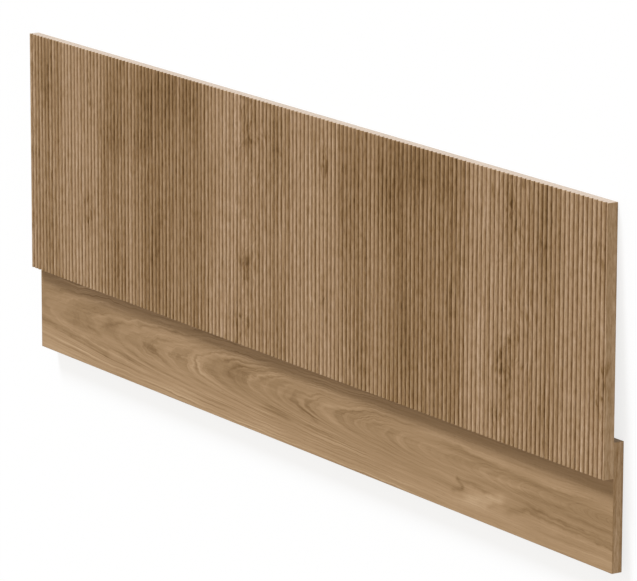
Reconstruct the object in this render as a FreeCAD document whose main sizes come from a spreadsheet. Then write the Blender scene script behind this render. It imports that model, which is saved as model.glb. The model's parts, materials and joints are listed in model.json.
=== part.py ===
import FreeCAD, Part
import enum
import math
import os

import Sketcher

# A two-board bath panel: a vertically reeded front panel and a flat plinth screwed behind its lower
# edge. It lies face up, as it comes to rest on a level floor: on the top back edge of the panel and
# the top back edge of the plinth, so the whole assembly leans a few degrees.
# Each board is drawn in its own frame: X along its length, Y up the installed panel, Z out of its face.

# Driving sizes in millimetres, with the counts that go with them.
SIZES = [
    ("board_length", 1700, "length of the panel and of the plinth"),
    ("panel_height", 415, "height of the reeded panel"),
    ("panel_thickness", 18, "board under the ribs and the ribs themselves"),
    ("groove_pitch", 11.25, "from one groove to the next"),
    ("groove_floor", 2.25, "flat width at the bottom of a groove"),
    ("rib_radius", 3.5, "rounding of each rib's flank, and so the depth of a groove"),
    ("end_land", 1, "least flat left between the outer groove and the board's end"),
    ("plinth_height", 200, "whole height of the plinth, with what the panel covers"),
    ("plinth_thickness", 18, "thickness of the plinth"),
    ("plinth_drop", 145, "how far the plinth reaches below the panel"),
    ("screw_count", 5, "screws that hold the plinth to the panel"),
    ("screw_end_gap", 100, "from the board's end to the outer screw"),
    ("screw_edge_gap", 27.5, "from the plinth's top edge to the row of screws"),
    ("screw_length", 30, "over all, head included"),
    ("screw_shank", 4, "diameter"),
    ("screw_head", 8, "diameter"),
    ("screw_tip", 5, "length of the pointed end"),
    ("slot_length", 4.4, "cross recess, from end to end"),
    ("slot_width", 1, "cross recess, across one arm"),
    ("slot_depth", 1.6, "cross recess"),
    ("head_recess", 0.3, "how far the head lies below the plinth's back"),
    ("head_gap", 0.05, "round the head in its countersink"),
    ("shank_gap", 0.25, "round the shank in the plinth"),
    ("pilot_gap", 0.05, "round and past the screw in the panel"),
]

GROOVE_COUNT = (
    "floor((sizes.board_length - sizes.groove_floor - 2 * sizes.rib_radius - 2 * sizes.end_land)"
    " / sizes.groove_pitch) + 1"
)
REST_ANGLE = "atan(sizes.plinth_thickness / (sizes.panel_height + sizes.plinth_drop - sizes.plinth_height))"
SCREW_SPAN = "sizes.board_length - 2 * sizes.screw_end_gap"
SCREW_BITE = "sizes.screw_length + sizes.head_recess - sizes.plinth_thickness"


# How a sketch numbers its own axes.
class Axis(enum.IntEnum):
    HORIZONTAL = -1
    VERTICAL = -2


# How a sketch numbers the points of a line or arc.
class Point(enum.IntEnum):
    START = 1
    END = 2
    CENTRE = 3


def add_sheet(doc):
    sheet = doc.addObject("Spreadsheet::Sheet", "sizes")
    for row, (alias, value, note) in enumerate(SIZES, 1):
        sheet.set(f"A{row}", note)
        sheet.set(f"B{row}", str(value))
        sheet.setAlias(f"B{row}", alias)
    doc.recompute()
    return sheet


def add_rest_frame(doc):
    # The frame of the resting assembly: X along the boards, Y up the panel from the plinth's foot,
    # Z out of the face from the plane where the two boards meet. It is turned so that the two
    # resting edges lie on the floor, with the middle of the part's outline over the origin.
    rest = doc.addObject("PartDesign::CoordinateSystem", "rest_frame")
    overall = "(sizes.panel_height + sizes.plinth_drop)"
    middle = (
        f"({overall} * cos({REST_ANGLE})"
        f" + (sizes.panel_thickness - sizes.plinth_thickness) * sin({REST_ANGLE})) / 2"
    )
    lift = f"{overall} * sin({REST_ANGLE})"
    rest.setExpression(
        "Placement",
        f"placement(vector(0; -({middle}); {lift}); rotation(vector(1; 0; 0); -{REST_ANGLE}))",
    )
    return rest


def place(body, x, y, z):
    body.setExpression(
        "Placement",
        f"rest_frame.Placement * placement(vector({x}; {y}; {z}); rotation(vector(0; 0; 1); 0))",
    )


def origin_feature(body, role):
    return next(f for f in body.Origin.OriginFeatures if f.Role == role)


def add_sketch(body, plane, name, x="0", y="0"):
    # x and y move the sketch's own origin within its plane.
    sketch = body.newObject("Sketcher::SketchObject", name)
    sketch.AttachmentSupport = [(origin_feature(body, plane), "")]
    sketch.MapMode = "FlatFace"
    sketch.setExpression("AttachmentOffset.Base.x", x)
    sketch.setExpression("AttachmentOffset.Base.y", y)
    return sketch


def constrain(sketch, *terms, size=None):
    index = sketch.addConstraint(Sketcher.Constraint(*terms))
    if size:
        sketch.setExpression(f"Constraints[{index}]", size)


def add_chain(sketch, pieces):
    # Lines and arcs joined end to start into one closed outline. Constraints give them their sizes.
    chain = [sketch.addGeometry(piece, False) for piece in pieces]
    for piece, following in zip(chain, chain[1:] + chain[:1]):
        constrain(sketch, "Coincident", piece, Point.END, following, Point.START)
    return chain


def line(x1, y1, x2, y2):
    return Part.LineSegment(FreeCAD.Vector(x1, y1, 0), FreeCAD.Vector(x2, y2, 0))


def unit_circle(x, y):
    return Part.Circle(FreeCAD.Vector(x, y, 0), FreeCAD.Vector(0, 0, 1), 1)


def unit_quarter(x, y, start_angle):
    return Part.ArcOfCircle(unit_circle(x, y), start_angle, start_angle + math.pi / 2)


def draw_rectangle(sketch, width, height, centred):
    # Centred left to right on the sketch's vertical axis, and standing on its horizontal axis or,
    # where centred is true, centred on that axis too.
    low = -1 if centred else 0
    base, right, top, left = add_chain(
        sketch, [line(-1, low, 1, low), line(1, low, 1, 1), line(1, 1, -1, 1), line(-1, 1, -1, low)]
    )
    constrain(sketch, "Horizontal", top)
    constrain(sketch, "Vertical", left)
    constrain(sketch, "Symmetric", base, Point.START, base, Point.END, Axis.VERTICAL)
    if centred:
        constrain(sketch, "Symmetric", right, Point.START, right, Point.END, Axis.HORIZONTAL)
    else:
        constrain(sketch, "Vertical", right)
        constrain(sketch, "PointOnObject", base, Point.START, Axis.HORIZONTAL)
    constrain(sketch, "DistanceX", base, Point.START, base, Point.END, 2, size=width)
    constrain(sketch, "DistanceY", right, Point.START, right, Point.END, 1 - low, size=height)


def draw_circle(sketch, radius):
    circle = sketch.addGeometry(unit_circle(0, 0), False)
    constrain(sketch, "Coincident", circle, Point.CENTRE, Axis.HORIZONTAL, Point.START)
    constrain(sketch, "Radius", circle, 1, size=radius)


def draw_groove(sketch):
    # What the cutter takes out between two ribs: a flat floor with a rounded flank on either side.
    opening, right, floor, left = add_chain(
        sketch,
        [line(-2, 3, 2, 3), unit_quarter(2, 2, math.pi / 2), line(1, 2, -1, 2), unit_quarter(-2, 2, 0)],
    )
    constrain(sketch, "Horizontal", opening)
    constrain(sketch, "Symmetric", floor, Point.START, floor, Point.END, Axis.VERTICAL)
    constrain(sketch, "Vertical", right, Point.CENTRE, right, Point.START)
    constrain(sketch, "Vertical", left, Point.CENTRE, left, Point.END)
    constrain(sketch, "Horizontal", right, Point.CENTRE, floor, Point.START)
    constrain(sketch, "Horizontal", left, Point.CENTRE, floor, Point.END)
    constrain(sketch, "DistanceX", floor, Point.END, floor, Point.START, 2, size="sizes.groove_floor")
    constrain(sketch, "Radius", right, 1, size="sizes.rib_radius")
    face_height = "sizes.panel_thickness"
    constrain(sketch, "DistanceY", Axis.HORIZONTAL, Point.START, opening, Point.START, 3, size=face_height)


def add_board(body, height, thickness):
    outline = add_sketch(body, "XY_Plane", "outline")
    draw_rectangle(outline, "sizes.board_length", height, centred=False)
    board = body.newObject("PartDesign::Pad", "board")
    board.Profile = outline
    board.setExpression("Length", thickness)


def repeat_along(body, feature, name, count, span):
    pattern = body.newObject("PartDesign::LinearPattern", name)
    pattern.Originals = [feature]
    pattern.Direction = (origin_feature(body, "X_Axis"), [""])
    pattern.setExpression("Length", span)
    pattern.setExpression("Occurrences", count)
    body.Tip = pattern


def add_fluted_panel(doc):
    body = doc.addObject("PartDesign::Body", "fluted_panel")
    add_board(body, "sizes.panel_height", "sizes.panel_thickness")

    span = f"({GROOVE_COUNT} - 1) * sizes.groove_pitch"
    section = add_sketch(body, "XZ_Plane", "groove_section", x=f"-({span}) / 2")
    draw_groove(section)
    groove = body.newObject("PartDesign::Pocket", "groove")
    groove.Profile = section
    groove.Type = "ThroughAll"
    repeat_along(body, groove, "grooves", GROOVE_COUNT, span)

    row = "sizes.plinth_height - sizes.screw_edge_gap - sizes.plinth_drop"
    bore = add_sketch(body, "XY_Plane", "pilot_bore", x=f"-({SCREW_SPAN}) / 2", y=row)
    draw_circle(bore, "sizes.screw_shank / 2 + sizes.pilot_gap")
    pilot = body.newObject("PartDesign::Pocket", "pilot")
    pilot.Profile = bore
    pilot.Reversed = True
    pilot.setExpression("Length", f"{SCREW_BITE} + sizes.pilot_gap")
    repeat_along(body, pilot, "pilots", "sizes.screw_count", SCREW_SPAN)

    place(body, "0", "sizes.plinth_drop", "0")
    return body


def add_plinth(doc):
    body = doc.addObject("PartDesign::Body", "plinth")
    add_board(body, "sizes.plinth_height", "sizes.plinth_thickness")

    row = "sizes.plinth_height - sizes.screw_edge_gap"
    bore = add_sketch(body, "XY_Plane", "screw_bore", x=f"-({SCREW_SPAN}) / 2", y=row)
    draw_circle(bore, "sizes.screw_shank / 2 + sizes.shank_gap")
    doc.recompute()
    hole = body.newObject("PartDesign::Hole", "screw_hole")
    hole.Profile = bore
    hole.Reversed = True
    hole.DepthType = "ThroughAll"
    hole.setExpression("Diameter", "sizes.screw_shank + 2 * sizes.shank_gap")
    hole.HoleCutType = "Countersink"
    hole.HoleCutCountersinkAngle = 90
    hole.setExpression("HoleCutDiameter", "sizes.screw_head + 2 * (sizes.head_recess + sizes.head_gap)")
    repeat_along(body, hole, "screw_holes", "sizes.screw_count", SCREW_SPAN)

    place(body, "0", "0", "-sizes.plinth_thickness")
    return body


def draw_screw_half(sketch):
    # Half the screw's length section, with its axis upright and the flat of the head at the bottom.
    # The cone under the head stands at 45 degrees to the axis.
    head_height = "(sizes.screw_head - sizes.screw_shank) / 2"
    flat, cone, shank, tip, axis = add_chain(
        sketch,
        [line(0, 0, 2, 0), line(2, 0, 1, 1), line(1, 1, 1, 2), line(1, 2, 0, 3), line(0, 3, 0, 0)],
    )
    constrain(sketch, "Coincident", flat, Point.START, Axis.HORIZONTAL, Point.START)
    constrain(sketch, "Horizontal", flat)
    constrain(sketch, "Vertical", shank)
    constrain(sketch, "PointOnObject", tip, Point.END, Axis.VERTICAL)
    constrain(sketch, "DistanceX", flat, Point.START, flat, Point.END, 2, size="sizes.screw_head / 2")
    constrain(sketch, "DistanceX", flat, Point.START, cone, Point.END, 1, size="sizes.screw_shank / 2")
    constrain(sketch, "DistanceY", cone, Point.START, cone, Point.END, 1, size=head_height)
    constrain(sketch, "DistanceY", tip, Point.START, tip, Point.END, 1, size="sizes.screw_tip")
    constrain(sketch, "DistanceY", axis, Point.END, axis, Point.START, 3, size="sizes.screw_length")


def add_screw(doc, index):
    body = doc.addObject("PartDesign::Body", f"plinth_screw_{index + 1}")
    half = add_sketch(body, "XZ_Plane", "half_section")
    draw_screw_half(half)
    turned = body.newObject("PartDesign::Revolution", "turned")
    turned.Profile = half
    turned.ReferenceAxis = (half, ["V_Axis"])

    arm = add_sketch(body, "XY_Plane", "recess_arm")
    draw_rectangle(arm, "sizes.slot_length", "sizes.slot_width", centred=True)
    slot = body.newObject("PartDesign::Pocket", "slot")
    slot.Profile = arm
    slot.Reversed = True
    slot.setExpression("Length", "sizes.slot_depth")
    cross = body.newObject("PartDesign::PolarPattern", "cross_recess")
    cross.Originals = [slot]
    cross.Axis = (origin_feature(body, "Z_Axis"), [""])
    cross.Angle = 90
    cross.Occurrences = 2
    body.Tip = cross

    place(
        body,
        f"({SCREW_SPAN}) * ({index} / (sizes.screw_count - 1) - 1 / 2)",
        "sizes.plinth_height - sizes.screw_edge_gap",
        "sizes.head_recess - sizes.plinth_thickness",
    )
    return body


def check_built(doc, bodies):
    for item in doc.Objects:
        if {"Invalid", "Error"} & set(item.State):
            raise RuntimeError(f"{item.Name} failed: {item.State}")
    for body in bodies:
        shape = body.Shape
        if shape.isNull() or not shape.isValid() or len(shape.Solids) != 1:
            raise RuntimeError(f"{body.Label} is not one valid solid")
        # Everything after a body's first solid is a cut, so each one leaves less than the last.
        volumes = [f.Shape.Volume for f in body.Group if f.isDerivedFrom("PartDesign::Feature")]
        if any(after >= before for before, after in zip(volumes, volumes[1:])):
            raise RuntimeError(f"a cut in {body.Label} removes nothing: {volumes}")


def main():
    doc = FreeCAD.newDocument("bath_panel")
    sheet = add_sheet(doc)
    add_rest_frame(doc)
    bodies = [add_fluted_panel(doc), add_plinth(doc)]
    bodies += [add_screw(doc, index) for index in range(int(sheet.screw_count))]
    doc.recompute()
    check_built(doc, bodies)
    os.makedirs("parts", exist_ok=True)
    for body in bodies:
        body.Shape.exportStep(f"parts/{body.Label}.step")
        box = body.Shape.BoundBox
        print(
            f"{body.Label}: {body.Shape.Volume / 1000:.1f} cm3,"
            f" X {box.XMin:.2f} to {box.XMax:.2f}, Y {box.YMin:.2f} to {box.YMax:.2f},"
            f" Z {box.ZMin:.2f} to {box.ZMax:.2f}"
        )


main()
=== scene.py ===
import json
import math

import bmesh
import bpy
from mathutils import Matrix, Vector


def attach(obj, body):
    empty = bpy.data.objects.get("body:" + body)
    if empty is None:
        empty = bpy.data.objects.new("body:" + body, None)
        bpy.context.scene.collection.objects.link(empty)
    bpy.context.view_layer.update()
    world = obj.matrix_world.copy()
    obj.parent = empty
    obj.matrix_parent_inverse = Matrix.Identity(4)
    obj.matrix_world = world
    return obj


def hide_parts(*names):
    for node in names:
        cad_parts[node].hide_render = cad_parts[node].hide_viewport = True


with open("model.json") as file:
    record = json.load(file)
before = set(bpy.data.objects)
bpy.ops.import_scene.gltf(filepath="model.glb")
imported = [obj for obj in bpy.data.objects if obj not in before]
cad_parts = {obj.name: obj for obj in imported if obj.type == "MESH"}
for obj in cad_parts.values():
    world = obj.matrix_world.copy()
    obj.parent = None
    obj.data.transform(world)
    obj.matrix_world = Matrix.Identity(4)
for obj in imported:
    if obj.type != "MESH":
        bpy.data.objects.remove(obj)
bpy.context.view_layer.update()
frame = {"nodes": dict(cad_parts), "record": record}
print("frame loaded:", ", ".join(sorted(frame["nodes"])))


# both boards are made in one frame: x along them, y up the panel from the plinth's foot, z out of the face
# its zero is on the plane where the boards meet, and lengths are in metres
sharpTurn = math.radians(40)     # an edge that turns by more is shaded sharp


def quarterTurns(steps):
    return [math.pi / 2 * i / steps for i in range(steps + 1)]


# reeded panel
reeds = {
    "length": 1.7,
    "foot": 0.145,        # its lower edge, up from the plinth's foot
    "height": 0.415,
    "thick": 0.018,
    "pitch": 0.01125,
    "grooves": 151,
    "floor": 0.00225,     # flat width of a groove
    "radius": 0.0035,     # of its flanks, and so its depth
    "flankSteps": 9,
    "ease": 0.0004,       # rounding of the arrises
    "easeSteps": 3,
    "hold": 0.0015,       # row of points this far in, so that the rounding doesn't shade the whole face
}


def reedProfile():
    # points across the face as (x, z, outward x, outward z), from the left end to the right
    half = reeds["length"] / 2
    thick, radius, ease = reeds["thick"], reeds["radius"], reeds["ease"]
    points = []
    for turn in quarterTurns(reeds["easeSteps"]):
        points.append((
            -half + ease * (1 - math.cos(turn)),
            thick - ease * (1 - math.sin(turn)),
            -math.cos(turn),
            math.sin(turn),
        ))
    rightArris = [(-x, z, -nx, nz) for x, z, nx, nz in reversed(points)]
    reach = reeds["floor"] / 2 + radius
    for groove in range(reeds["grooves"]):
        middle = (groove - (reeds["grooves"] - 1) / 2) * reeds["pitch"]
        for side in (-1, 1):
            flank = []
            for turn in quarterTurns(reeds["flankSteps"]):     # from the rib's crest down to the floor
                flank.append((
                    middle + side * (reach - radius * math.sin(turn)),
                    thick - radius * (1 - math.cos(turn)),
                    -side * math.sin(turn),
                    math.cos(turn),
                ))
            points += flank if side < 0 else flank[::-1]
    return points + rightArris


def flutedPanelMesh():
    # finishes: 0 foil on the ribs, 1 pale top edge, 2 paper on the back, 3 foil on the ends and foot
    profile = reedProfile()
    ease = reeds["ease"]
    low, high = reeds["foot"], reeds["foot"] + reeds["height"]
    rows = []             # height of each row and how far it is drawn in
    for turn in quarterTurns(reeds["easeSteps"]):
        rows.append((low + ease * (1 - math.cos(turn)), ease * (1 - math.sin(turn))))
    rows.append((low + reeds["hold"], 0.0))
    rows += [(low + high - y, inset) for y, inset in reversed(rows)]
    verts = []
    for y, inset in rows:
        verts += [(x - nx * inset, y, z - nz * inset) for x, z, nx, nz in profile]
        verts += [(x * (1 - 2 * inset / reeds["length"]), y, inset) for x, z, nx, nz in profile]
    count = len(profile)
    ring = 2 * count      # the face's points of a row, then the back's
    loop = list(range(count)) + list(range(ring - 1, count - 1, -1))
    faces, finishes = [], []
    for row in range(len(rows) - 1):
        base, above = row * ring, (row + 1) * ring
        for here, after in zip(loop, loop[1:] + loop[:1]):
            faces.append([base + here, base + after, above + after, above + here])
            behind = (here >= count) + (after >= count)      # how many of the two are on the back
            finishes.append((0, 3, 2)[behind])
    for row, finish in ((0, 3), (len(rows) - 1, 1)):
        base = row * ring
        for i in range(count - 1):
            quad = [base + i, base + count + i, base + count + i + 1, base + i + 1]
            faces.append(quad if row == 0 else quad[::-1])
            finishes.append(finish)
    mesh = bpy.data.meshes.new("flutedPanel")
    mesh.from_pydata(verts, [], faces)
    mesh.polygons.foreach_set("material_index", finishes)
    mesh.shade_smooth()
    mesh.set_sharp_from_angle(angle=sharpTurn)
    return mesh


# plinth board
plinth = {
    "length": 1.7,
    "height": 0.2,
    "thick": 0.018,
    "ease": 0.0006,
    "easeSteps": 3,
    "easeShape": 0.5,     # a round one
    "hold": 0.0015,       # as on the panel
    "screws": 5,
    "screwEndGap": 0.1,
    "screwEdgeGap": 0.0275,
    "bore": 0.0045,
    "countersink": 0.0087,
    "boreSides": 40,
    "cutterPast": 0.002,  # the cutter goes this far past both faces
    # how squarely a polygon looks along the board's thickness or length
    "boreWall": 0.95,     # less than this in a bore
    "back": 0.9,          # more than this on the back
    "end": 0.8,           # and more than this at an end
}


def screwCentres():
    span = plinth["length"] - 2 * plinth["screwEndGap"]
    row = plinth["height"] - plinth["screwEdgeGap"]
    last = plinth["screws"] - 1
    return [Vector((span * (i / last - 0.5), row, 0)) for i in range(plinth["screws"])]


def boreCutterMesh():
    # one cutter holds every screw's bore and countersink
    cutter = bmesh.new()
    wide, narrow = plinth["countersink"] / 2, plinth["bore"] / 2
    back, past = -plinth["thick"], plinth["cutterPast"]
    outline = ((wide, back - past), (wide, back), (narrow, back + wide - narrow), (narrow, past))
    sides = plinth["boreSides"]
    turns = [math.tau * k / sides for k in range(sides)]
    for centre in screwCentres():
        rings = []
        for r, z in outline:
            ring = [centre + Vector((r * math.cos(turn), r * math.sin(turn), z)) for turn in turns]
            rings.append([cutter.verts.new(point) for point in ring])
        for lower, upper in zip(rings, rings[1:]):
            for k in range(sides):
                after = (k + 1) % sides
                cutter.faces.new((lower[k], lower[after], upper[after], upper[k]))
        cutter.faces.new(rings[0][::-1])
        cutter.faces.new(rings[-1])
    mesh = bpy.data.meshes.new("screwBores")
    cutter.to_mesh(mesh)
    cutter.free()
    return mesh


def plinthBlankMesh():
    build = bmesh.new()
    size = Vector((plinth["length"], plinth["height"], plinth["thick"]))
    bmesh.ops.create_cube(build, size=1.0)
    bmesh.ops.scale(build, vec=size, verts=build.verts)
    bmesh.ops.bevel(
        build,
        geom=build.edges[:],
        offset=plinth["ease"],
        segments=plinth["easeSteps"],
        profile=plinth["easeShape"],
        affect="EDGES",
    )
    for axis in range(3):
        for side in (-1, 1):
            out = Vector()
            out[axis] = side
            cut = out * (size[axis] / 2 - plinth["hold"])
            everything = build.verts[:] + build.edges[:] + build.faces[:]
            bmesh.ops.bisect_plane(build, geom=everything, plane_co=cut, plane_no=out)
    bmesh.ops.translate(build, vec=(0, size.y / 2, -size.z / 2), verts=build.verts)
    mesh = bpy.data.meshes.new("plinthBlank")
    build.to_mesh(mesh)
    build.free()
    return mesh


def plinthFinish(face):
    # 0 foil on the face and long edges, 1 paper on the back, 2 raw board in the bores, 3 foil on the ends
    wide = plinth["countersink"] / 2
    atScrew = any((face.center.xy - centre.xy).length < wide for centre in screwCentres())
    if atScrew and abs(face.normal.z) < plinth["boreWall"]:
        return 2
    if abs(face.normal.x) > plinth["end"]:
        return 3
    return 1 if face.normal.z < -plinth["back"] else 0


def plinthMesh():
    board = bpy.data.objects.new("plinthBlank", plinthBlankMesh())
    cutter = bpy.data.objects.new("screwBores", boreCutterMesh())
    for made in (board, cutter):
        bpy.context.scene.collection.objects.link(made)
    boring = board.modifiers.new("screwBores", "BOOLEAN")
    boring.object = cutter
    boring.operation = "DIFFERENCE"
    boring.solver = "EXACT"
    bpy.context.view_layer.update()
    bored = bpy.data.meshes.new_from_object(board.evaluated_get(bpy.context.evaluated_depsgraph_get()))
    bored.name = "plinthBoard"
    for spent in (board, cutter):
        bpy.data.objects.remove(spent)
    for face in bored.polygons:
        face.material_index = plinthFinish(face)
    bored.shade_smooth()
    bored.set_sharp_from_angle(angle=sharpTurn)
    return bored


def feed(node, sockets):
    for key, value in sockets.items():
        if isinstance(value, Shade):
            node.id_data.links.new(value.socket, node.inputs[key])
        else:
            node.inputs[key].default_value = value


class Shade:
    # one socket of a node tree, so that shader maths reads as plain expressions
    def __init__(self, socket):
        self.socket = socket

    def node(self, kind, settings, sockets, out=0):
        made = self.socket.id_data.nodes.new(kind)
        for key, value in settings.items():
            if key == "stops":
                ramp = made.color_ramp.elements
                while len(ramp) < len(value):
                    ramp.new(0.5)      # its own place follows
                for stop, (place, colour) in zip(ramp, value):
                    stop.position = place
                    stop.color = (*colour, 1)
            else:
                setattr(made, key, value)
        feed(made, sockets)
        return Shade(made.outputs[out])

    def outputs(self):
        # every output of the node that this one belongs to, by name
        return {socket.name: Shade(socket) for socket in self.socket.node.outputs}

    def maths(self, operation, first, second=0.0):
        return self.node("ShaderNodeMath", {"operation": operation}, {0: first, 1: second})

    def __add__(self, other):
        return self.maths("ADD", self, other)

    def __sub__(self, other):
        return self.maths("SUBTRACT", self, other)

    def __rsub__(self, other):
        return self.maths("SUBTRACT", other, self)

    def __mul__(self, other):
        return self.maths("MULTIPLY", self, other)

    def __truediv__(self, other):
        return self.maths("DIVIDE", self, other)

    def __pow__(self, other):
        return self.maths("POWER", self, other)

    __radd__ = __add__
    __rmul__ = __mul__

    def bell(self):
        # 1 at nought, falling away on both sides
        return self.maths("EXPONENT", 0.0 - self * self)

    def step(self, low, high, start=0.0, end=1.0):
        return self.node(
            "ShaderNodeMapRange",
            {"interpolation_type": "SMOOTHSTEP"},
            {"Value": self, "From Min": low, "From Max": high, "To Min": start, "To Max": end},
        )

    def mix(self, first, second, blend="MIX"):
        # self is how much of the second colour there is, and a colour's sockets are 6, 7 and 2
        settings = {"data_type": "RGBA", "blend_type": blend}
        return self.node("ShaderNodeMix", settings, {0: self, 6: first, 7: second}, 2)

    def ramp(self, *stops):
        return self.node("ShaderNodeValToRGB", {"stops": stops}, {"Fac": self})

    def noise(self, rate, detail, rough):
        # grain of a vector, about nought, that changes so many times a metre in each direction
        spread = self.node("ShaderNodeVectorMath", {"operation": "MULTIPLY"}, {0: self, 1: rate})
        sockets = {"Vector": spread, "Scale": 1.0, "Detail": detail, "Roughness": rough}
        return self.node("ShaderNodeTexNoise", {}, sockets) - 0.5

    def lineNoise(self, rate, detail, rough):
        # grain of a single value, about nought
        sockets = {"W": self * rate, "Scale": 1.0, "Detail": detail, "Roughness": rough}
        return self.node("ShaderNodeTexNoise", {"noise_dimensions": "1D"}, sockets) - 0.5

    def bump(self, strength, distance):
        sockets = {"Strength": strength, "Distance": distance, "Height": self}
        return self.node("ShaderNodeBump", {}, sockets)


def newMaterial(name, constants):
    material = bpy.data.materials.new(name)
    material.use_nodes = True
    shader = material.node_tree.nodes["Principled BSDF"]
    feed(shader, constants)
    return material, shader


def coordsOf(shader):
    coords = Shade(shader.outputs[0]).node("ShaderNodeTexCoord", {}, {}).outputs()
    return coords["Object"], coords["Normal"]


def axesOf(place):
    return place.node("ShaderNodeSeparateXYZ", {}, {"Vector": place}).outputs().values()


def vectorOf(x, y, z=0.0):
    return x.node("ShaderNodeCombineXYZ", {}, {"X": x, "Y": y, "Z": z})


def grainOf(place, kinds):
    return {key: place.noise(*kind) for key, kind in kinds.items()}


def weigh(grain, amounts, base=0.0):
    # a base and the named grains, each times its amount
    total = base
    for key, amount in amounts.items():
        total = total + grain[key] * amount
    return total


# foil of the reeded panel: upright figure, printed in repeats
flutedFoil = {
    "specular": 0.08,
    "stops": (
        (0.10, (0.150, 0.078, 0.025)),
        (0.36, (0.320, 0.195, 0.091)),
        (0.58, (0.455, 0.304, 0.177)),
        (0.86, (0.640, 0.466, 0.320)),
    ),
    "poreColour": (0.085, 0.044, 0.017, 1),
    "paintedGrooveShade": (0.82, 0.765, 0.675, 1),   # painted shade: the foil's colour is darkened and warmed down in the grooves
    "grooveShadeFrom": 0.0008,                    # below the crest, where that painted shade sets in
    "grooveFull": 0.0032,
    # grain: changes a metre along the board and up it, detail, roughness
    "grain": {
        "sway": ((2.2, 2.4, 1.0), 2.0, 0.5),
        "curl": ((26.0, 17.0, 1.0), 2.0, 0.5),
        "column": ((210.0, 1.1, 1.0), 2.0, 0.5),
        "dash": ((290.0, 58.0, 1.0), 3.0, 0.7),
        "fibre": ((900.0, 14.0, 1.0), 3.0, 0.6),
        "knot": ((62.0, 24.0, 1.0), 2.0, 0.5),
        "ragged": ((34.0, 14.0, 1.0), 2.0, 0.5),
        "dab": ((150.0, 40.0, 1.0), 2.0, 0.5),
        "pore": ((1150.0, 48.0, 1.0), 1.0, 0.5),
    },
    "rings": (120.0, 3.0, 0.6),              # changes a metre out from the heart
    # where each of these sets in and is whole
    "knotFrom": (0.10, 0.24),
    "dabFrom": (0.0, 0.13),
    "earlyFrom": (0.10, -0.10),
    "strokeFrom": (0.08, 0.22),
    "poreFrom": (0.10, 0.22),
    # amounts
    "tone": 0.515,
    "inTone": {
        "rings": 0.42,
        "heartRings": 0.35,
        "column": 0.28,
        "dash": 0.76,
        "fibre": 0.22,
        "knots": -0.20,
    },
    "inPore": {"strokes": 0.40, "pores": 0.35},
    "roughness": 0.50,
    "inRoughness": {"fibre": 0.18, "pores": 0.18},
    "inHeight": {"fibre": 0.35, "column": 0.3, "pores": -0.9, "strokes": -0.3},
    "bump": (0.22, 0.0004),
    # one repeat of the print
    "repeat": 0.74,
    "start": -0.52,       # where one repeat begins
    "repeatSway": 0.03,
    # heart of the log, seen as arches
    "heart": -0.15,       # their middle in that repeat
    "heartHalf": 0.075,
    "heartSway": 0.04,
    "heartDepth": 0.012,  # of the log's middle behind the foot of the panel
    "heartLean": 0.05,    # and how fast it deepens up the panel
    "depthSway": 0.08,
    "depthCurl": 0.05,
    "acrossCurl": 0.024,
    # darker and lighter bands of one repeat: middle, half width, how much darker
    "bandSway": 0.05,
    "bandEdge": 1.8,      # square of the half widths at which a band has faded out
    "bands": (
        (-0.408, 0.072, 0.12),
        (-0.295, 0.045, 0.10),
        (-0.205, 0.050, -0.06),
        (-0.055, 0.045, 0.03),
        (0.060, 0.070, -0.04),
        (0.185, 0.045, 0.07),
    ),
    # dark patches of one repeat: along, up, half width, half height, how much darker
    "patchRagged": 1.6,   # how far their outlines wander
    "evenDepth": 0.9,
    "evenPatches": (
        (-0.470, 0.490, 0.036, 0.075, 0.18),
        (-0.390, 0.520, 0.026, 0.045, 0.15),
        (-0.412, 0.260, 0.015, 0.090, 0.12),
        (-0.320, 0.520, 0.026, 0.050, 0.11),
        (-0.240, 0.405, 0.030, 0.050, 0.06),
        (-0.050, 0.480, 0.028, 0.062, 0.06),
        (0.170, 0.465, 0.032, 0.062, 0.10),
    ),
    "fleckDepth": 0.40,   # between the dabs
    "dabDepth": 2.0,      # and more in them
    "fleckPatches": (
        (-0.165, 0.180, 0.016, 0.035, 0.13),
        (-0.150, 0.275, 0.018, 0.038, 0.15),
        (-0.140, 0.510, 0.022, 0.044, 0.15),
        (-0.050, 0.480, 0.028, 0.062, 0.06),
        (-0.045, 0.200, 0.028, 0.050, 0.05),
        (0.094, 0.280, 0.014, 0.035, 0.18),
        (0.094, 0.490, 0.012, 0.050, 0.14),
        (0.180, 0.400, 0.036, 0.090, 0.05),
        (0.200, 0.195, 0.026, 0.045, 0.07),
    ),
}


def patchTone(patches, along, y, ragged):
    total = 0.0
    for middle, level, half, tall, darker in patches:
        sideways = ((along - middle) / half + ragged).bell()
        upright = ((y - level) / tall + ragged).bell()
        total = total + sideways * upright * darker
    return total


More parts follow.
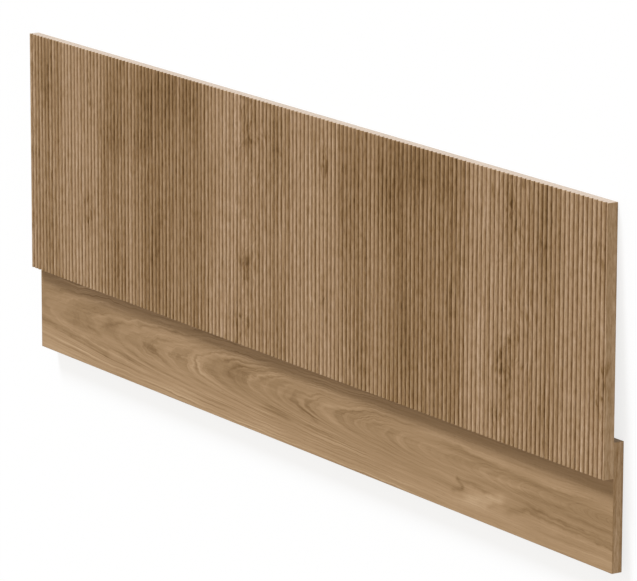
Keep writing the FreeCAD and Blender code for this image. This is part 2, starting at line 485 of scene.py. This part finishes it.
def flutedFoilMaterial(name, grooved):
    foil = flutedFoil
    material, shader = newMaterial(name, {"Specular IOR Level": foil["specular"]})
    place, outward = coordsOf(shader)
    x, y, z = axesOf(place)
    if not grooved:
        # the grain carries on from the face over the arris
        turnX, turnY, _ = axesOf(outward)
        x = x + turnX * (reeds["thick"] - z)
        y = y + turnY * (reeds["thick"] - z)
    grain = grainOf(vectorOf(x, y), foil["grain"])
    sway = grain["sway"]
    turns = (x + sway * foil["repeatSway"] - foil["start"]) / foil["repeat"]
    along = turns.maths("FRACT", turns) * foil["repeat"] + foil["start"]
    # rings show as curled flecks at the heart and as straight lines away from it
    across = along - foil["heart"] + sway * foil["heartSway"]
    nearHeart = (across / foil["heartHalf"]).bell()
    curl = grain["curl"] * nearHeart
    depth = foil["heartDepth"] + (y - reeds["foot"]) * foil["heartLean"]
    depth = depth + sway * foil["depthSway"] + curl * foil["depthCurl"]
    across = across + curl * foil["acrossCurl"]
    radius = (across * across + depth * depth) ** 0.5
    rings = radius.lineNoise(*foil["rings"])
    grain["rings"] = rings
    grain["heartRings"] = rings * nearHeart
    grain["knots"] = grain["knot"].step(*foil["knotFrom"]) * nearHeart
    tone = weigh(grain, foil["inTone"], foil["tone"])
    along = along + sway * foil["bandSway"]
    for middle, half, darker in foil["bands"]:
        away = (along - middle) / half
        tone = tone - (away * away).step(0.0, foil["bandEdge"], darker, 0.0)
    ragged = grain["ragged"] * foil["patchRagged"]
    dabs = grain["dab"].step(*foil["dabFrom"]) * foil["dabDepth"]
    tone = tone - patchTone(foil["evenPatches"], along, y, ragged) * foil["evenDepth"]
    tone = tone - patchTone(foil["fleckPatches"], along, y, ragged) * (dabs + foil["fleckDepth"])
    # dark strokes and pores lie in the early wood of each ring
    early = rings.step(*foil["earlyFrom"])
    grain["strokes"] = grain["dash"].step(*foil["strokeFrom"]) * early
    grain["pores"] = grain["pore"].step(*foil["poreFrom"]) * early
    colour = weigh(grain, foil["inPore"]).mix(tone.ramp(*foil["stops"]), foil["poreColour"])
    if grooved:
        crest = reeds["thick"]
        # painted shade: the colour darkens with depth in the grooves
        paintedShade = z.step(crest - foil["grooveShadeFrom"], crest - foil["grooveFull"])
        colour = paintedShade.mix(colour, foil["paintedGrooveShade"], "MULTIPLY")
    feed(shader, {
        "Base Color": colour,
        "Roughness": weigh(grain, foil["inRoughness"], foil["roughness"]),
        "Normal": weigh(grain, foil["inHeight"]).bump(*foil["bump"]),
    })
    return material


# foil of the plinth: arches that lie along the board with their tips to the left, and single lines
plinthFoil = {
    "specular": 0.08,
    "stops": (
        (0.10, (0.190, 0.105, 0.041)),
        (0.38, (0.316, 0.197, 0.097)),
        (0.58, (0.401, 0.257, 0.138)),
        (0.86, (0.532, 0.365, 0.216)),
    ),
    "poreColour": (0.115, 0.062, 0.026, 1),
    # grain: changes a metre along the board and up it, detail, roughness
    "grain": {
        "sway": ((1.9, 5.0, 1.0), 2.0, 0.45),
        "wobble": ((12.0, 30.0, 1.0), 3.0, 0.6),
        "ragged": ((34.0, 60.0, 1.0), 3.0, 0.6),
        "fade": ((6.5, 24.0, 1.0), 2.0, 0.5),
        "cloud": ((3.0, 8.0, 1.0), 2.0, 0.5),
        "streak": ((4.0, 190.0, 1.0), 3.0, 0.6),
        "fibre": ((16.0, 900.0, 1.0), 3.0, 0.6),
        "pore": ((52.0, 1150.0, 1.0), 1.0, 0.5),
    },
    "rings": (20.0, 2.0, 0.45),              # on a scale that closes up towards the heart
    "wisps": ((6.0, 64.0, 1.0), 2.0, 0.5),   # along the board, and on that scale
    "drift": ((2.6, 85.0, 1.0), 3.0, 0.6),   # along the board, and away from the heart
    # where each of these sets in and is whole
    "earlyFrom": (0.10, -0.10),
    "poreFrom": (0.12, 0.24),
    "sapFrom": (0.050, 0.0),                 # up the board, paler towards the foot
    "calmFrom": (0.15, 0.45),                # along it, arches give way to long grain
    "fadeFrom": (-0.16, 0.20, 0.45, 1.25),   # lines fade in and out, between these strengths
    "leftFade": (-0.85, -0.66, 0.55, 1.0),   # and are fainter at the left end
    # amounts
    "tone": 0.492,
    "inFigure": {"rings": 0.68, "wisps": 0.74},
    "inTone": {"cloud": 0.30, "sapwood": 0.11, "heartwood": -0.06, "streak": 0.30, "fibre": 0.18},
    "calmLoss": 0.7,
    "driftAll": 0.12,
    "driftCalm": 0.46,
    "inPore": {"pores": 0.35},
    "roughness": 0.48,
    "inRoughness": {"fibre": 0.18, "pores": 0.18},
    "inHeight": {"fibre": 0.35, "streak": 0.4, "pores": -0.9},
    "bump": (0.2, 0.0004),
    # shape of the arches
    "heart": 0.080,       # height of their middle line
    "heartHalf": 0.024,   # half height of the darker wood there
    "heartSway": 0.030,
    "heartWobble": 0.012,
    "end": 1.05,          # where they would run out, along the board
    "slope": 0.11,
    "slopeSway": 0.12,
    "slopeWobble": 0.10,
    "narrow": 1.9,        # how much narrower than round they are
    "limb": 0.11,         # distance from the heart at which they turn along the board
    "archHalf": 0.060,    # half height of the main ones
    # main arches: place of the tip along the board, half width, how much darker
    "arches": (
        (-0.930, 0.030, 0.26),
        (-0.690, 0.024, 0.11),
        (-0.615, 0.020, 0.11),
        (-0.555, 0.022, 0.18),
        (-0.470, 0.020, 0.05),
        (-0.400, 0.026, -0.14),
        (-0.345, 0.022, 0.14),
        (-0.290, 0.030, 0.14),
        (-0.200, 0.030, 0.10),
        (-0.145, 0.016, -0.12),
        (-0.012, 0.012, 0.12),
        (0.022, 0.012, 0.16),
        (0.150, 0.024, 0.08),
        (0.370, 0.030, -0.10),
        (0.520, 0.024, 0.08),
        (0.660, 0.030, 0.10),
    ),
    # single lines: along and up the board at each end, half width, how much darker
    "lineWobble": 0.010,
    "lineRagged": 0.014,
    "lineTaper": 0.25,    # share of a line over which each end fades
    "lines": {
        "leftEnd": (
            (-0.92, 0.056, -0.66, 0.041, 0.0035, 0.14),
            (-0.90, 0.045, -0.68, 0.042, 0.0025, 0.10),
            (-0.71, 0.043, -0.60, 0.029, 0.0050, 0.17),
            (-0.63, 0.047, -0.52, 0.039, 0.0022, 0.12),
            (-0.80, 0.058, -0.58, 0.050, 0.0040, -0.09),
            (-0.64, 0.043, -0.46, 0.024, 0.0038, -0.12),
        ),
        "flames": (
            (-0.70, 0.072, -0.63, 0.058, 0.0030, 0.15),
            (-0.65, 0.073, -0.56, 0.102, 0.0032, 0.12),
            (-0.51, 0.076, -0.44, 0.070, 0.0065, 0.16),
            (-0.30, 0.086, -0.14, 0.080, 0.0220, 0.08),
            (-0.15, 0.094, -0.06, 0.115, 0.0032, -0.10),
            (-0.13, 0.048, -0.02, 0.043, 0.0045, 0.12),
            (-0.02, 0.073, 0.06, 0.054, 0.0028, 0.15),
            (0.00, 0.047, 0.11, 0.038, 0.0022, 0.12),
        ),
        "rightEnd": (
            (0.30, 0.112, 0.66, 0.101, 0.0060, -0.12),
            (0.60, 0.101, 0.98, 0.106, 0.0060, -0.10),
            (0.34, 0.106, 0.70, 0.090, 0.0040, 0.09),
            (0.62, 0.088, 0.92, 0.106, 0.0035, 0.08),
            (0.56, 0.071, 0.98, 0.056, 0.0035, 0.10),
            (0.58, 0.054, 1.00, 0.041, 0.0036, 0.22),
            (0.57, 0.045, 1.00, 0.036, 0.0028, 0.18),
            (0.62, 0.034, 1.00, 0.029, 0.0040, -0.08),
        ),
        "hook": (
            (0.440, 0.058, 0.466, 0.039, 0.0046, 0.24),
            (0.468, 0.045, 0.425, 0.028, 0.0042, 0.16),
            (0.440, 0.055, 0.560, 0.050, 0.0036, 0.18),
            (0.440, 0.060, 0.700, 0.054, 0.0080, 0.06),
            (0.450, 0.027, 0.590, 0.048, 0.0100, -0.24),
            (0.520, 0.025, 0.590, 0.046, 0.0040, 0.12),
            (0.555, 0.026, 0.680, 0.056, 0.0050, 0.13),
        ),
    },
}


def lineTone(x, y, bend):
    taper = plinthFoil["lineTaper"]
    total = 0.0
    for group in plinthFoil["lines"].values():
        for x0, y0, x1, y1, half, darker in group:
            length = math.dist((x0, y0), (x1, y1))
            runX, runY = (x1 - x0) / length, (y1 - y0) / length
            along = ((x - x0) * runX + (y - y0) * runY) / length      # 0 at one end, 1 at the other
            away = ((y - y0) * runX - (x - x0) * runY + bend) / half
            total = total - away.bell() * along.step(0.0, taper) * along.step(1.0, 1.0 - taper) * darker
    return total


def plinthFoilMaterial():
    foil = plinthFoil
    material, shader = newMaterial("plinthFoil", {"Specular IOR Level": foil["specular"]})
    place, _ = coordsOf(shader)
    x, y, z = axesOf(place)
    y = y + z                                    # the grain carries on over the edges
    grain = grainOf(vectorOf(x, y), foil["grain"])
    sway, wobble = grain["sway"], grain["wobble"]
    off = y - foil["heart"] + sway * foil["heartSway"] + wobble * foil["heartWobble"]
    limb = off / foil["limb"]
    across = off * (limb * limb + 1.0) * foil["narrow"]
    bent = 1.0 + sway * foil["slopeSway"] + wobble * foil["slopeWobble"]
    depth = (foil["end"] - x) * foil["slope"] * bent
    radius = (across * across + depth * depth) ** 0.5
    spread = radius.maths("LOGARITHM", radius, math.e)      # rings lie closer together towards the heart
    calm = x.step(*foil["calmFrom"])
    faint = grain["fade"].step(*foil["fadeFrom"]) * (1.0 - calm * foil["calmLoss"])
    faint = faint * x.step(*foil["leftFade"])
    grain["rings"] = spread.lineNoise(*foil["rings"])
    grain["wisps"] = vectorOf(x, spread).noise(*foil["wisps"])
    grain["sapwood"] = y.step(*foil["sapFrom"])
    grain["heartwood"] = (off / foil["heartHalf"]).bell()
    drift = vectorOf(x, off).noise(*foil["drift"]) * (foil["driftAll"] + calm * foil["driftCalm"])
    tone = weigh(grain, foil["inTone"], foil["tone"]) + weigh(grain, foil["inFigure"]) * faint + drift
    tip = foil["end"] - radius / foil["slope"]      # where the arch through this point has its tip
    inArch = faint * (off / foil["archHalf"]).bell()
    for middle, half, darker in foil["arches"]:
        tone = tone - ((tip - middle) / half).bell() * inArch * darker
    tone = tone + lineTone(x, y, wobble * foil["lineWobble"] + grain["ragged"] * foil["lineRagged"])
    grain["pores"] = grain["pore"].step(*foil["poreFrom"]) * grain["rings"].step(*foil["earlyFrom"])
    feed(shader, {
        "Base Color": weigh(grain, foil["inPore"]).mix(tone.ramp(*foil["stops"]), foil["poreColour"]),
        "Roughness": weigh(grain, foil["inRoughness"], foil["roughness"]),
        "Normal": weigh(grain, foil["inHeight"]).bump(*foil["bump"]),
    })
    return material


# pale fibreboard edge
paleEdge = {
    "specular": 0.25,
    "light": (0.513, 0.415, 0.327, 1),
    "dark": (0.394, 0.30, 0.217, 1),
    "grain": {
        "speck": ((900.0, 900.0, 900.0), 3.0, 0.65),
        "patch": ((9.0, 9.0, 60.0), 2.0, 0.5),
    },
    "pitFrom": (-0.20, 0.12, 0.65, 0.0),     # specks, from the darkest to none
    "patches": 0.5,
    "roughness": 0.72,
    "inRoughness": {"speck": 0.2},
    "bump": (0.25, 0.0003),
}


def paleEdgeMaterial():
    material, shader = newMaterial("paleEdge", {"Specular IOR Level": paleEdge["specular"]})
    place, _ = coordsOf(shader)
    grain = grainOf(place, paleEdge["grain"])
    pitted = grain["speck"].step(*paleEdge["pitFrom"]) + grain["patch"] * paleEdge["patches"]
    feed(shader, {
        "Base Color": pitted.mix(paleEdge["light"], paleEdge["dark"]),
        "Roughness": weigh(grain, paleEdge["inRoughness"], paleEdge["roughness"]),
        "Normal": grain["speck"].bump(*paleEdge["bump"]),
    })
    return material


# plain paper that backs both boards
backPaper = {
    "specular": 0.3,
    "light": (0.47, 0.385, 0.29, 1),
    "dark": (0.34, 0.268, 0.192, 1),
    "grain": {
        "cloud": ((5.0, 5.0, 5.0), 4.0, 0.65),
        "felt": ((150.0, 70.0, 150.0), 3.0, 0.6),
        "fibre": ((1400.0, 420.0, 1400.0), 4.0, 0.65),
        "fleck": ((620.0, 190.0, 620.0), 1.0, 0.5),
    },
    "fleckFrom": (0.20, 0.27),
    "shade": 0.40,
    "inShade": {"cloud": 0.75, "felt": 0.35, "fibre": 0.55, "flecks": 0.35},
    "roughness": 0.56,
    "inRoughness": {"fibre": 0.2},
    "bump": (0.12, 0.0002),
}


def backPaperMaterial():
    material, shader = newMaterial("backPaper", {"Specular IOR Level": backPaper["specular"]})
    place, _ = coordsOf(shader)
    grain = grainOf(place, backPaper["grain"])
    grain["flecks"] = grain["fleck"].step(*backPaper["fleckFrom"])      # a few darker fibres
    shade = weigh(grain, backPaper["inShade"], backPaper["shade"])
    feed(shader, {
        "Base Color": shade.mix(backPaper["light"], backPaper["dark"]),
        "Roughness": weigh(grain, backPaper["inRoughness"], backPaper["roughness"]),
        "Normal": grain["fibre"].bump(*backPaper["bump"]),
    })
    return material


# bright zinc on the screws
screwZinc = {
    "bright": (0.60, 0.59, 0.56, 1),
    "dull": (0.42, 0.41, 0.385, 1),
    "grain": {
        "spangle": ((1500.0, 1500.0, 1500.0), 3.0, 0.6),
        "scuff": ((5200.0, 420.0, 5200.0), 3.0, 0.6),       # drawn marks
    },
    "dulled": 0.35,
    "inDulled": {"spangle": 0.9, "scuff": 0.8},
    "roughness": 0.34,
    "inRoughness": {"spangle": 0.30, "scuff": 0.20},
    "bump": (0.25, 0.00008),
}


def screwZincMaterial():
    material, shader = newMaterial("screwZinc", {"Metallic": 1.0})
    place, _ = coordsOf(shader)
    grain = grainOf(place, screwZinc["grain"])
    dulled = weigh(grain, screwZinc["inDulled"], screwZinc["dulled"])
    feed(shader, {
        "Base Color": dulled.mix(screwZinc["bright"], screwZinc["dull"]),
        "Roughness": weigh(grain, screwZinc["inRoughness"], screwZinc["roughness"]),
        "Normal": grain["scuff"].bump(*screwZinc["bump"]),
    })
    return material


def boardFrame():
    mounts = {mount["name"]: mount for mount in frame["record"]["mounts"]}
    up = Vector(mounts["rim_edge"]["axis"])
    out = -Vector(mounts["plinth_back"]["axis"])
    foot = Vector(mounts["floor_edge"]["pos_m"]) + out * plinth["thick"] / 2
    return Matrix((
        (1, up.x, out.x, foot.x),
        (0, up.y, out.y, foot.y),
        (0, up.z, out.z, foot.z),
        (0, 0, 0, 1),
    ))


def finishPiece(name, mesh, materials, node):
    for material in materials:
        mesh.materials.append(material)
    piece = bpy.data.objects.new(name, mesh)
    bpy.context.scene.collection.objects.link(piece)
    piece.matrix_world = boardFrame()
    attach(piece, "root")
    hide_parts(node)
    print(name, "made:", len(mesh.polygons), "faces")


ribFoil = flutedFoilMaterial("ribFoil", True)
endFoil = flutedFoilMaterial("endFoil", False)
flowFoil = plinthFoilMaterial()
edge = paleEdgeMaterial()
paper = backPaperMaterial()
zinc = screwZincMaterial()
print("finishes made")

panelFinishes = [ribFoil, edge, paper, endFoil]
plinthFinishes = [flowFoil, paper, edge, endFoil]
finishPiece("flutedPanelFace", flutedPanelMesh(), panelFinishes, "fluted_panel")
finishPiece("plinthBoard", plinthMesh(), plinthFinishes, "plinth")
for name, node in frame["nodes"].items():
    if name.startswith("plinth_screw"):
        node.data.materials.clear()
        node.data.materials.append(zinc)
print("screws finished")


def seenRays(surface):
    # 1 for what the camera sees, straight, in a reflection or through glass
    path = surface.node("ShaderNodeLightPath", {}, {}).outputs()
    seen = path["Is Camera Ray"]
    for ray in ("Is Glossy Ray", "Is Transmission Ray"):
        seen = seen.maths("MAXIMUM", seen, path[ray])
    return seen


# floor, white to the camera, with the shadow kept
stage = {
    "size": 60.0,
    "drop": 0.0004,       # clear of the edges that rest on it
    "colour": (0.92, 0.92, 0.92, 1),
    "roughness": 0.9,
    "specular": 0.1,
    "white": 0.75,        # share of plain white that the camera sees
    "glow": 1.04,
}


def floorMaterial():
    material, shader = newMaterial("paleFloor", {
        "Base Color": stage["colour"],
        "Roughness": stage["roughness"],
        "Specular IOR Level": stage["specular"],
    })
    lit = Shade(shader.outputs[0])
    seen = seenRays(lit)
    glow = seen.node("ShaderNodeEmission", {}, {"Color": (1, 1, 1, 1), "Strength": stage["glow"]})
    both = seen.node("ShaderNodeMixShader", {}, {0: seen * stage["white"], 1: lit, 2: glow})
    feed(material.node_tree.nodes["Material Output"], {"Surface": both})
    return material


def addFloor():
    half = stage["size"] / 2
    corners = [(-half, -half, 0), (half, -half, 0), (half, half, 0), (-half, half, 0)]
    mesh = bpy.data.meshes.new("paleFloor")
    mesh.from_pydata(corners, [], [(0, 1, 2, 3)])
    mesh.materials.append(floorMaterial())
    floor = bpy.data.objects.new("paleFloor", mesh)
    floor.location.z = -stage["drop"]
    bpy.context.scene.collection.objects.link(floor)


# lamps: one soft cool key from above the rim edge, and an even, slightly warm sky
lamps = {
    "key": 3.26,
    "keyColour": (0.816, 0.885, 1.0),
    "keyFrom": (-0.17, 0.879, 0.445),
    "keySpread": 16.0,
    "sky": 0.58,
    "skyColour": (1.0, 0.94, 0.84, 1),
}


def addLamps():
    key = bpy.data.lights.new("key", "SUN")
    key.energy = lamps["key"]
    key.color = lamps["keyColour"]
    key.angle = math.radians(lamps["keySpread"])
    lamp = bpy.data.objects.new("key", key)
    lamp.rotation_euler = Vector(lamps["keyFrom"]).to_track_quat("Z", "Y").to_euler()
    bpy.context.scene.collection.objects.link(lamp)
    world = bpy.data.worlds.new("sky")
    bpy.context.scene.world = world
    world.use_nodes = True
    nodes = world.node_tree.nodes
    feed(nodes["Background"], {"Color": lamps["skyColour"], "Strength": lamps["sky"]})
    sky = Shade(nodes["Background"].outputs[0])
    seen = seenRays(sky)
    white = seen.node("ShaderNodeBackground", {}, {"Color": (1, 1, 1, 1), "Strength": 1.0})
    both = seen.node("ShaderNodeMixShader", {}, {0: seen, 1: sky, 2: white})
    feed(nodes["World Output"], {"Surface": both})


# camera: the photograph's view of the upright boards, carried over to the boards as they lie
view = {
    "aim": (0.0592, -0.0032, 0.02),
    "azimuth": 106.86,    # 0 looks along +Y
    "elevation": 31.07,
    "roll": 101.23,       # brings the rim edge to the top of the picture
    "distance": 7.643,
    "lens": 270.9,
    "sensor": 36.0,
    "farthest": 200.0,
}


def addCamera():
    data = bpy.data.cameras.new("view")
    data.sensor_fit = "HORIZONTAL"
    data.sensor_width = view["sensor"]
    data.lens = view["lens"]
    data.clip_end = view["farthest"]
    camera = bpy.data.objects.new("view", data)
    turn = (
        Matrix.Rotation(math.radians(view["azimuth"]), 4, "Z")
        @ Matrix.Rotation(math.radians(90 - view["elevation"]), 4, "X")
        @ Matrix.Rotation(math.radians(-view["roll"]), 4, "Z")
    )
    back = Matrix.Translation((0, 0, view["distance"]))
    camera.matrix_world = Matrix.Translation(view["aim"]) @ turn @ back
    bpy.context.scene.collection.objects.link(camera)
    bpy.context.scene.camera = camera


addFloor()
addLamps()
addCamera()
bpy.context.scene.view_settings.view_transform = "Standard"
print("stage set")
